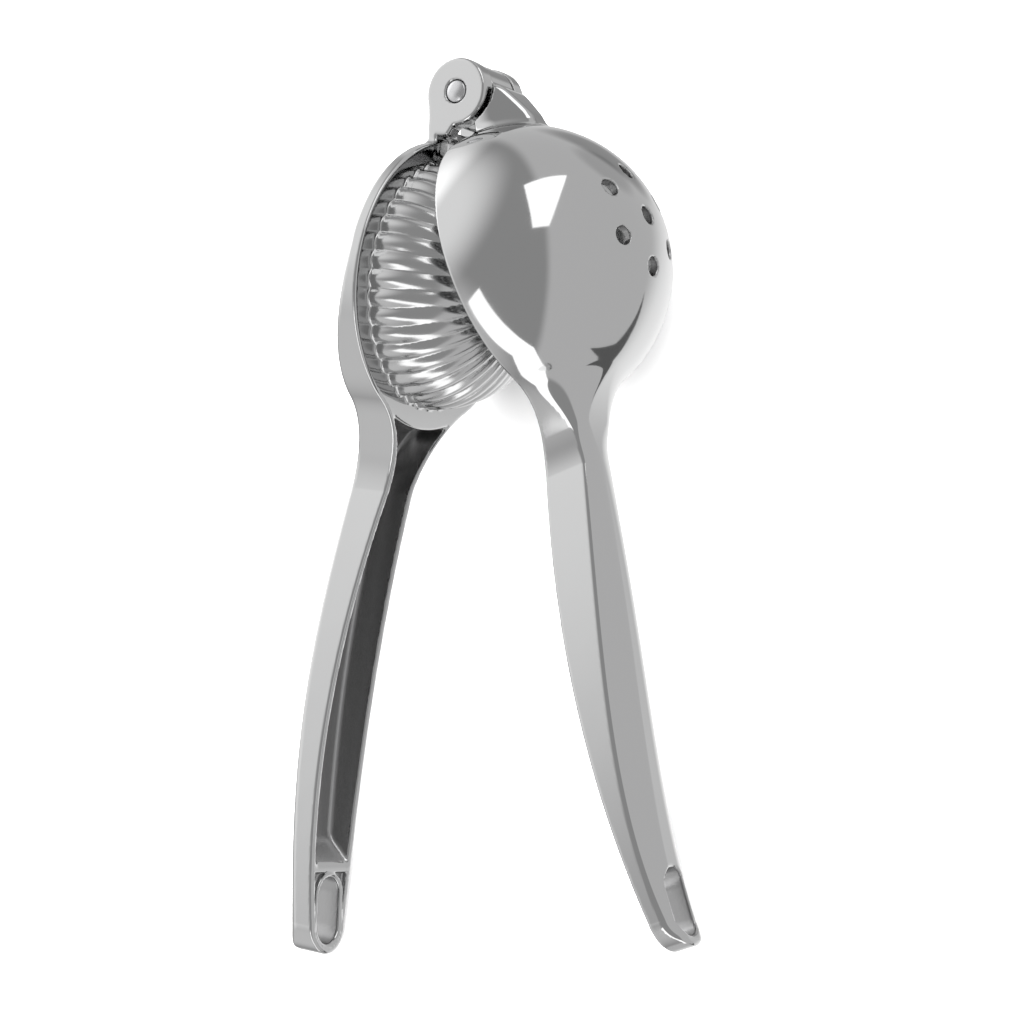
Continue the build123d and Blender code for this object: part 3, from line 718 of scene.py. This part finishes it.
def ears(s, x, reach, z):
    """Distance outside the two hinge ears and the web between their stems."""
    foot_reach = s.bowl_reach - math.sqrt(s.bowl_radius**2 - s.hinge_half**2) + FOOT_LAP
    stem_reach = s.rim_reach - STEM_LAP
    web_front = s.flange_x - STEM_LAP
    web_top = s.lug_radius + s.ear_clearance
    back_top = (-s.stem_back_top, s.ear_radius * STEM_TOP_SHARE)
    back_foot = (-s.stem_back_foot, foot_reach)
    front_foot = (web_front, foot_reach)
    foot = convex([back_top, back_foot, front_foot, (web_front, 0)], FINE_ROUND, x, reach)
    toe = [(s.stem_toe, stem_reach), (s.stem_front, stem_reach - s.stem_toe_rise), (s.stem_front, 0)]
    stem = convex([back_top, (-s.stem_back_foot, stem_reach)] + toe, FINE_ROUND, x, reach)
    outline = soft_min(np.hypot(x, reach) - s.ear_radius, np.minimum(stem, foot), RIM_ROUND)
    ear = soft_max(outline, z - s.hinge_half, s.edge_round)
    ear = soft_max(ear, s.hinge_half - s.ear_thickness - z, FINE_ROUND)
    web_corners = [(-s.stem_back_foot, web_top), (web_front, web_top), front_foot, back_foot]
    web = convex(web_corners, CORNER_ROUND, x, reach)
    web = soft_max(web, z - s.hinge_half + s.ear_thickness / 2, FINE_ROUND)
    return soft_min(ear, web, LIP_ROUND)


def plunger_face(s, x, reach):
    """Depth of a point below the handle's face, and the depth and lean of the channel's floor there."""
    front = s.plunger_front.at(reach)
    return front - x, front - s.plunger_floor.at(reach), s.plunger_floor.lean(reach)


def plunger_surface(s, x, reach, z):
    """Distance outside the plunger casting."""
    z = np.abs(z)
    crest_away = s.plunger_crest.at(reach) - x
    run, fall = s.plunger_facet_run.at(reach), s.plunger_facet_fall.at(reach)
    body = soft_max(plan(s, reach, z), crest_away * s.plunger_crest.lean(reach), s.edge_round)
    body = soft_max(body, facet(crest_away, z, s.half.at(reach), run, fall), s.ridge_round)
    body = soft_max(body, (x - s.plunger_front.at(reach)) * s.plunger_front.lean(reach), s.edge_round)
    body = soft_min(body, fluted_dome(s, x, reach, z), FLUTE_FILLET)
    body = soft_min(body, ears(s, x, reach, z), EAR_FILLET)
    body = carve(body, hollow(s, x, reach, z), RIM_ROUND)
    body = handle_cuts(s, body, *plunger_face(s, x, reach), reach, z, s.flange_back_wall)
    return carve(body, np.hypot(x, reach) - s.bore_radius, CORNER_ROUND)


def plunger_finish_and_shade(s, x, reach, z):
    """Which finish the plunger casting has at a point: rough and painted darker as shade in its handle's
    recesses, satin on the flutes.
    """
    z = np.abs(z)
    dull_shade = recess(s, *plunger_face(s, x, reach), reach, z, s.flange_back_wall)
    flutes = np.abs(fluted_dome(s, x, reach, z)) < 2 * SKIN
    # Faces in the recesses take the rough plating with painted shade.
    return np.where(dull_shade < SKIN, DULL_SHADED, np.where(flutes, SATIN, POLISHED))


# Meshing a surface

# Rows of the grid that are worked out at a time
SLAB_ROWS = 24

# Turns that draw the net onto the surface, how many of them even it out, and the least slope that counts
SETTLE_TURNS = 5
EVEN_TURNS = 3
LEAST_SLOPE = 0.2

CORNERS = np.array([(i, j, k) for i in (0, 1) for j in (0, 1) for k in (0, 1)])
CELL_EDGES = [(a, b) for a in range(8) for b in range(a) if np.abs(CORNERS[a] - CORNERS[b]).sum() == 1]


def sample(surface, s, low, high, pitch):
    """Distances on an even grid, the two sides of the arm mirrored."""
    xs = np.arange(low[0], high[0], pitch)
    reaches = np.arange(low[1], high[1], pitch)
    zs = (np.arange(int(math.ceil(high[2] / pitch))) + 0.5) * pitch
    slabs = []
    for part in np.array_split(reaches, max(len(reaches) // SLAB_ROWS, 1)):
        grid = surface(s, xs[:, None, None], part[None, :, None], zs[None, None, :])
        slabs.append(grid.astype(np.float32))
    near = np.concatenate(slabs, axis=1)
    return np.concatenate([near[:, :, ::-1], near], axis=2), np.array([xs[0], reaches[0], -zs[-1]])


def net(grid, origin, pitch):
    """Points and four-sided faces of a closed net, one point to each cell that the surface crosses."""
    inside = grid < 0
    size = np.array(grid.shape) - 1
    count = np.zeros(size, np.int8)
    for i, j, k in CORNERS:
        count += inside[i : i + size[0], j : j + size[1], k : k + size[2]]
    cells = np.argwhere((count > 0) & (count < len(CORNERS)))
    numbers = np.full(size, -1)
    numbers[tuple(cells.T)] = np.arange(len(cells))
    values = np.stack([grid[tuple((cells + corner).T)] for corner in CORNERS], axis=1).astype(float)
    total = np.zeros((len(cells), 3))
    crossings = np.zeros(len(cells))
    for a, b in CELL_EDGES:
        crossed = (values[:, a] < 0) != (values[:, b] < 0)
        share = values[crossed, a] / (values[crossed, a] - values[crossed, b])
        total[crossed] += CORNERS[a] + share[:, None] * (CORNERS[b] - CORNERS[a])
        crossings[crossed] += 1
    points = origin + (cells + total / crossings[:, None]) * pitch
    steps = np.eye(3, dtype=int)
    faces = []
    for axis in range(3):
        one, two = steps[(axis + 1) % 3], steps[(axis + 2) % 3]
        ahead = np.roll(inside, -1, axis=axis)
        for turned, edge in ((False, inside & ~ahead), (True, ~inside & ahead)):
            at = np.argwhere(edge)
            at = at[(at - one - two >= 0).all(axis=1) & (at < size).all(axis=1)]
            ring = [at, at - one, at - one - two, at - two]
            quad = np.stack([numbers[tuple(corner.T)] for corner in ring], axis=1)
            faces.append(quad[:, ::-1] if turned else quad)
    return points, np.concatenate(faces)


def gradient(surface, s, points):
    """Slope of the distance at each point, which points out of the metal."""
    step = 0.03
    slopes = []
    for axis in range(3):
        ahead, behind = points.copy(), points.copy()
        ahead[:, axis] += step
        behind[:, axis] -= step
        slopes.append((surface(s, *ahead.T) - surface(s, *behind.T)) / (2 * step))
    return np.stack(slopes, axis=1)


def settle(surface, s, points, faces, pitch):
    """Even out the net and draw its points onto the surface: the points and their normals."""
    ends = np.concatenate([faces[:, [i, (i + 1) % 4]] for i in range(4)])
    ends = np.concatenate([ends, ends[:, ::-1]])
    weight = np.bincount(ends[:, 0], minlength=len(points))
    for turn in range(SETTLE_TURNS):
        if turn < EVEN_TURNS:
            sums = [np.bincount(ends[:, 0], points[ends[:, 1], axis], len(points)) for axis in range(3)]
            points = 0.5 * points + 0.5 * np.stack(sums, axis=1) / weight[:, None]
        slope = gradient(surface, s, points)
        steep = np.maximum((slope * slope).sum(axis=1), LEAST_SLOPE)
        pull = surface(s, *points.T) / steep
        points = points - np.clip(pull, -pitch, pitch)[:, None] * slope
    slope = gradient(surface, s, points)
    return points, slope / np.maximum(np.linalg.norm(slope, axis=1, keepdims=True), TINY)


# Setting pieces in place

joint = frame["joints"][0]
hinge_place = Vector(joint["pos_m"])
tilt = math.atan2(joint["axis"][1], -joint["axis"][2])
half_opening = math.radians(-joint["range_deg"][0] / 2)

# To which side of the half-way plane each arm is opened
CUP_SIDE, PLUNGER_SIDE = 1, -1

# The low corner of the box round each casting, in x and reach, and the room past it at the far sides
CUP_LOW = (-16.0, -10.0)
PLUNGER_LOW = (-28.0, -10.0)
BOX_MARGIN = 2.0


def arm_place(side):
    """From an arm's own frame, in millimetres, to the row frame."""
    turn = Matrix.Rotation(tilt, 4, "X") @ Matrix.Rotation(side * half_opening, 4, "Z")
    return Matrix.Translation(hinge_place) @ turn @ Matrix.Scale(MM, 4)


def new_piece(name, points, faces, place, normals=None):
    """A mesh object in the row frame, shaded smooth."""
    mesh = bpy.data.meshes.new(name)
    mesh.from_pydata(points.tolist(), [], faces.tolist() if isinstance(faces, np.ndarray) else faces)
    mesh.polygons.foreach_set("use_smooth", [True] * len(mesh.polygons))
    mesh.transform(place)
    if normals is not None:
        turned = normals @ np.array(place.to_3x3().normalized().transposed())
        mesh.normals_split_custom_set_from_vertices(turned.tolist())
    mesh.update()
    piece = bpy.data.objects.new(name, mesh)
    bpy.context.scene.collection.objects.link(piece)
    return piece


def cast(name, surface, finish, s, low, top, side):
    """One casting, from its distances, its low corner and its greatest x in the arm's frame."""
    pitch = s.mesh_pitch
    high = (top + BOX_MARGIN, s.end_reach + BOX_MARGIN, s.bowl_radius + BOX_MARGIN)
    points, faces = net(*sample(surface, s, low, high, pitch), pitch)
    if not len(faces):
        raise RuntimeError(f"{name}: no surface in its box")
    points, normals = settle(surface, s, points, faces, pitch)
    flip = np.array([1.0, -1.0, 1.0])
    piece = new_piece(name, points * flip, faces[:, ::-1], arm_place(side), normals * flip)
    kinds = finish(s, *points[faces].mean(axis=1).T)
    piece.data.polygons.foreach_set("material_index", kinds.astype(np.int32))
    return piece


# Hinge pin

# Sides and dome steps of the pin, the rounding of its rim, and where that bulges, as shares of the rounding
PIN_SIDES = 96
DOME_STEPS = 14
PIN_ROUND = 0.25
BULGE_IN, BULGE_DOWN = 0.3, 0.05


def pin_outline(s):
    """Radius and height of the pin's outline, from the middle of one domed end to that of the other."""
    radius = s.pin_diameter / 2
    end = s.hinge_half - s.pin_sink
    cap = (radius**2 + s.pin_dome**2) / (2 * s.pin_dome)
    centre = end + s.pin_dome - cap
    rim = math.asin((radius - PIN_ROUND) / cap)
    angles = [rim * i / DOME_STEPS for i in range(DOME_STEPS + 1)]
    upper = [(cap * math.sin(angle), centre + cap * math.cos(angle)) for angle in angles]
    upper += [(radius - PIN_ROUND * BULGE_IN, end - PIN_ROUND * BULGE_DOWN)]
    upper += [(radius, end - PIN_ROUND), (radius, end / 2)]
    return upper + [(r, -z) for r, z in reversed(upper)]


def lathe(outline):
    """Points and faces of an outline turned about z, with its two ends on the axis."""
    ring = outline[1:-1]
    turns = [2 * math.pi * i / PIN_SIDES for i in range(PIN_SIDES)]
    points = [(0, 0, outline[0][1])]
    for r, z in ring:
        points += [(r * math.cos(turn), r * math.sin(turn), z) for turn in turns]
    points.append((0, 0, outline[-1][1]))
    rows = [1 + k * PIN_SIDES for k in range(len(ring))]
    faces = []
    for i in range(PIN_SIDES):
        j = (i + 1) % PIN_SIDES
        faces.append((0, 1 + i, 1 + j))
        faces += [(row + i, below + i, below + j, row + j) for row, below in zip(rows, rows[1:])]
        faces.append((rows[-1] + j, rows[-1] + i, len(points) - 1))
    return np.array(points), faces


# Materials


def new_material(name, tint, metallic):
    """A plain material of one tint, and its shader."""
    material = bpy.data.materials.new(name)
    material.use_nodes = True
    shader = material.node_tree.nodes["Principled BSDF"]
    shader.inputs["Base Color"].default_value = (*tint, 1.0)
    shader.inputs["Metallic"].default_value = metallic
    return material, shader


def add_node(material, kind, **values):
    """A node with its plain inputs set."""
    node = material.node_tree.nodes.new(kind)
    for name, value in values.items():
        node.inputs[name.replace("_", " ")].default_value = value
    return node


def grain(material, **values):
    """Noise that stays with the piece."""
    place = add_node(material, "ShaderNodeTexCoord")
    noise = add_node(material, "ShaderNodeTexNoise", **values)
    material.node_tree.links.new(place.outputs["Object"], noise.inputs["Vector"])
    return noise.outputs["Fac"]


def vary_gloss(material, shader, pattern, **values):
    """Roughness that follows a pattern."""
    links = material.node_tree.links
    spread = add_node(material, "ShaderNodeMapRange", **values)
    links.new(pattern, spread.inputs["Value"])
    links.new(spread.outputs["Result"], shader.inputs["Roughness"])


def emboss(material, shader, pattern, **values):
    """Slight unevenness that follows a pattern."""
    links = material.node_tree.links
    bump = add_node(material, "ShaderNodeBump", **values)
    links.new(pattern, bump.inputs["Height"])
    links.new(bump.outputs["Normal"], shader.inputs["Normal"])


def chrome(name, finish, roughness):
    """Bright plating: faint handling haze in the gloss and the long ripple that polishing leaves."""
    material, shader = new_material(name, finish.chrome_colour, 1.0)
    haze = grain(material, Scale=70.0, Detail=4.0, Roughness=0.6)
    most = roughness + finish.chrome_haze
    vary_gloss(material, shader, haze, From_Min=0.35, From_Max=0.75, To_Min=roughness, To_Max=most)
    ripple = grain(material, Scale=90.0, Detail=1.0)
    emboss(material, shader, ripple, Strength=finish.chrome_ripple, Distance=0.002)
    return material


def dull_shaded_plate(finish):
    """Plating over the casting's own grainy skin, where no wheel polished it, its tint darker as painted
    shade.
    """
    # The darker tint is painted shade; the roughness and the fine bumps are the real unpolished skin.
    material, shader = new_material("dull_shaded_chrome", finish.recess_shade_colour, 1.0)
    shader.inputs["Roughness"].default_value = finish.recess_roughness
    skin = grain(material, Scale=1400.0, Detail=2.0)
    emboss(material, shader, skin, Strength=0.15, Distance=0.0002)
    return material


def pin_steel(finish):
    """Turned steel, a little duller than the plating."""
    material, shader = new_material("turned_steel", finish.pin_colour, 1.0)
    marks = grain(material, Scale=900.0, Detail=3.0)
    vary_gloss(material, shader, marks, To_Min=finish.pin_roughness, To_Max=finish.pin_roughness * 1.6)
    return material


def plating(finish):
    """The plating's finishes in the order of their numbers, the same for both castings; the second one's tint
    is painted shade.
    """
    made = bpy.data.materials
    return [
        made.get("polished_chrome") or chrome("polished_chrome", finish, finish.chrome_roughness),
        made.get("dull_shaded_chrome") or dull_shaded_plate(finish),
        made.get("satin_chrome") or chrome("satin_chrome", finish, finish.satin_roughness),
    ]


def dress(piece, body, node, materials):
    """Finish, body and CAD node of a piece."""
    for material in materials:
        piece.data.materials.append(material)
    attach(piece, body)
    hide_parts(node)


# Stage

# The upward side of the line where the pale sweep ends, and the softness of that line
SWEEP_UP = Vector((-0.66, -0.12, 0.73)).normalized()
SWEEP_EDGE = 0.06

# Soft places in the room: azimuth and elevation in degrees, the cosines of the angles from the middle
# where each starts and where it is full, the brightness that it takes, and how much of it
ROOM_PLACES = (
    (145, 38, 0.6, 0.97, "room_side", 1.0),
    (-140, 15, 0.6, 0.97, "room_near", 1.0),
    (145, 0, 0.8, 0.97, "room_window", 1.0),
    (95, -40, 0.95, 0.99, "room_dusk", -1.0),
    (72, -28, 0.96, 0.99, "room_dusk", -0.5),
    (0, -90, 0.75, 1.0, "room_foot", 1.0),
)

# Panels of the cards that the plating mirrors, two white and one dark, as corners in degrees of azimuth
# and elevation seen from between the bowls, and how far away they hang in metres
BOWLS = Vector((0.0, 0.04, 0.035))
CARD_DISTANCE = 4.0
CARDS = {
    "softbox": [[(21, 52), (20, 40), (60, 7), (68, 36)]],
    "strip_card": [
        [(-107, 59), (-80, 3), (-96, 3), (-121, 47)],
        [(-80, 3), (-90, -30), (-106, -30), (-96, 3)],
    ],
    "dark_flag": [[(-57, -30), (-46, -49), (0, -51), (-35, -58), (-62, -60), (-92, -66), (-64, -51)]],
}


def make_floor(stage):
    """A pale floor under the tool."""
    half = stage.floor_size / 2
    points = np.array([(-half, -half, 0), (half, -half, 0), (half, half, 0), (-half, half, 0)])
    floor = new_piece("floor", points, [(0, 1, 2, 3)], Matrix.Identity(4))
    material, shader = new_material("pale_floor", stage.floor_colour, 0.0)
    shader.inputs["Roughness"].default_value = 0.8
    shader.inputs["Specular IOR Level"].default_value = 0.1
    floor.data.materials.append(material)
    floor.visible_glossy = False
    floor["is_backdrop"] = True


def toward(azimuth, elevation):
    """Direction from the bowls, angles in degrees, azimuth from +X toward +Y."""
    a, e = math.radians(azimuth), math.radians(elevation)
    return Vector((math.cos(e) * math.cos(a), math.cos(e) * math.sin(a), math.sin(e)))


def make_room(scene, stage):
    """Soft light from all round: a pale sweep, a darker room above it, and brighter and darker places."""
    world = bpy.data.worlds.new("studio_room")
    world.use_nodes = True
    nodes, links = world.node_tree.nodes, world.node_tree.links
    place = nodes.new("ShaderNodeTexCoord")

    def glow(direction, start, end, low, high):
        """Brightness that changes softly with the angle to a direction."""
        angle = nodes.new("ShaderNodeVectorMath")
        angle.operation = "DOT_PRODUCT"
        angle.inputs[1].default_value = direction
        spread = nodes.new("ShaderNodeMapRange")
        spread.interpolation_type = "SMOOTHSTEP"
        spread.inputs["From Min"].default_value = start
        spread.inputs["From Max"].default_value = end
        spread.inputs["To Min"].default_value = low
        spread.inputs["To Max"].default_value = high
        links.new(place.outputs["Generated"], angle.inputs[0])
        links.new(angle.outputs["Value"], spread.inputs["Value"])
        return spread.outputs["Result"]

    total = glow(SWEEP_UP, -SWEEP_EDGE, SWEEP_EDGE, stage.room_sweep, stage.room_shade)
    for azimuth, elevation, start, full, brightness, share in ROOM_PLACES:
        add = nodes.new("ShaderNodeMath")
        part = glow(toward(azimuth, elevation), start, full, 0.0, share * getattr(stage, brightness))
        links.new(total, add.inputs[0])
        links.new(part, add.inputs[1])
        total = add.outputs["Value"]
    links.new(total, nodes["Background"].inputs["Color"])
    scene.world = world


def card_glow(name, strength):
    """An even glow for a card."""
    glow = bpy.data.materials.new(name + "_glow")
    glow.use_nodes = True
    nodes = glow.node_tree.nodes
    nodes.remove(nodes["Principled BSDF"])
    emission = nodes.new("ShaderNodeEmission")
    emission.inputs["Strength"].default_value = strength
    glow.node_tree.links.new(emission.outputs["Emission"], nodes["Material Output"].inputs["Surface"])
    return glow


def make_lights(stage):
    """White cards and a dark one that the plating mirrors, and a light above for the floor."""
    for name, panels in CARDS.items():
        points, faces = [], []
        for corners in panels:
            faces.append(tuple(range(len(points), len(points) + len(corners))))
            points += [BOWLS + toward(*corner) * CARD_DISTANCE for corner in corners]
        card = new_piece(name, np.array(points), faces, Matrix.Identity(4))
        strength = stage.flag_strength if name == "dark_flag" else stage.card_strength
        card.data.materials.append(card_glow(name, strength))
        card.visible_camera = False
        card.visible_diffuse = False
        card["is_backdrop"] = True
    data = bpy.data.lights.new("overhead", "AREA")
    data.size = stage.top_size
    data.energy = stage.top_power
    overhead = bpy.data.objects.new("overhead", data)
    overhead.location = (0, 0, stage.top_height)
    overhead.visible_glossy = False
    bpy.context.scene.collection.objects.link(overhead)


def make_camera(scene, stage):
    """The photograph's view of the tool."""
    data = bpy.data.cameras.new("camera")
    data.lens = stage.camera_lens
    data.sensor_width = SENSOR_WIDTH
    data.clip_start = 0.01
    camera = bpy.data.objects.new("camera", data)
    place, aim = Vector(stage.camera_place), Vector(stage.camera_aim)
    facing = (aim - place).to_track_quat("-Z", "Y").to_matrix().to_4x4()
    camera.matrix_world = Matrix.Translation(place) @ facing @ Matrix.Rotation(stage.camera_roll, 4, "Z")
    scene.collection.objects.link(camera)
    scene.camera = camera
    scene.view_settings.view_transform = "Standard"


# Operators


class SQUEEZER_OT_cup_casting(bpy.types.Operator):
    """Make the casting with the lug, the cup and its handle"""

    bl_idname = "squeezer.cup_casting"
    bl_label = "Cup casting"

    def execute(self, context):
        s = arm_sizes(context.scene.squeezer_sizes)
        top = s.dome_x + s.bowl_radius
        piece = cast("cup_casting", cup_surface, cup_finish_and_shade, s, CUP_LOW, top, CUP_SIDE)
        dress(piece, "cup_arm", "cup_arm", plating(context.scene.squeezer_finish))
        return {"FINISHED"}


class SQUEEZER_OT_plunger_casting(bpy.types.Operator):
    """Make the casting with the ears, the flange, the fluted plunger and its handle"""

    bl_idname = "squeezer.plunger_casting"
    bl_label = "Plunger casting"

    def execute(self, context):
        s = arm_sizes(context.scene.squeezer_sizes)
        top = s.flange_x + s.plunger_height
        piece = cast("plunger_casting", plunger_surface, plunger_finish_and_shade, s, PLUNGER_LOW, top, PLUNGER_SIDE)
        dress(piece, "plunger_arm", "plunger_arm", plating(context.scene.squeezer_finish))
        return {"FINISHED"}


class SQUEEZER_OT_hinge_pin(bpy.types.Operator):
    """Turn the hinge pin with its two domed ends"""

    bl_idname = "squeezer.hinge_pin"
    bl_label = "Hinge pin"

    def execute(self, context):
        outline = pin_outline(in_mm(context.scene.squeezer_sizes))
        piece = new_piece("turned_pin", *lathe(outline), arm_place(PLUNGER_SIDE))
        dress(piece, "plunger_arm", "hinge_pin", [pin_steel(context.scene.squeezer_finish)])
        return {"FINISHED"}


class SQUEEZER_OT_stage(bpy.types.Operator):
    """Lay the pale floor, hang the soft lights and set the camera"""

    bl_idname = "squeezer.stage"
    bl_label = "Stage"

    def execute(self, context):
        stage = context.scene.squeezer_stage
        make_floor(stage)
        make_room(context.scene, stage)
        make_lights(stage)
        make_camera(context.scene, stage)
        return {"FINISHED"}


# Panel and registration

OPERATORS = (
    SQUEEZER_OT_cup_casting,
    SQUEEZER_OT_plunger_casting,
    SQUEEZER_OT_hinge_pin,
    SQUEEZER_OT_stage,
)
GROUPS = {
    "squeezer_sizes": SqueezerSizes,
    "squeezer_finish": SqueezerFinish,
    "squeezer_stage": SqueezerStage,
}


class SQUEEZER_PT_panel(bpy.types.Panel):
    """Pieces of the squeezer and their sizes"""

    bl_idname = "SQUEEZER_PT_panel"
    bl_label = "Citrus squeezer"
    bl_space_type = "VIEW_3D"
    bl_region_type = "UI"
    bl_category = "Squeezer"

    def draw(self, context):
        column = self.layout.column()
        for operator in OPERATORS:
            column.operator(operator.bl_idname)
        for title in GROUPS:
            group = getattr(context.scene, title)
            box = self.layout.box()
            for name in group.__annotations__:
                box.prop(group, name)


CLASSES = (*GROUPS.values(), *OPERATORS, SQUEEZER_PT_panel)


def register():
    for item in CLASSES:
        bpy.utils.register_class(item)
    for title, group in GROUPS.items():
        setattr(bpy.types.Scene, title, PointerProperty(type=group))


def unregister():
    for title in GROUPS:
        delattr(bpy.types.Scene, title)
    for item in reversed(CLASSES):
        bpy.utils.unregister_class(item)


def main():
    register()
    bpy.ops.squeezer.cup_casting()
    bpy.ops.squeezer.plunger_casting()
    bpy.ops.squeezer.hinge_pin()
    bpy.ops.squeezer.stage()
    bpy.context.view_layer.update()
    boxes = {"cad": cad_box, "visual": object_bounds()}
    plain = {name: [[float(v) for v in corner] for corner in corners] for name, corners in boxes.items()}


if __name__ == "__main__":
    main()
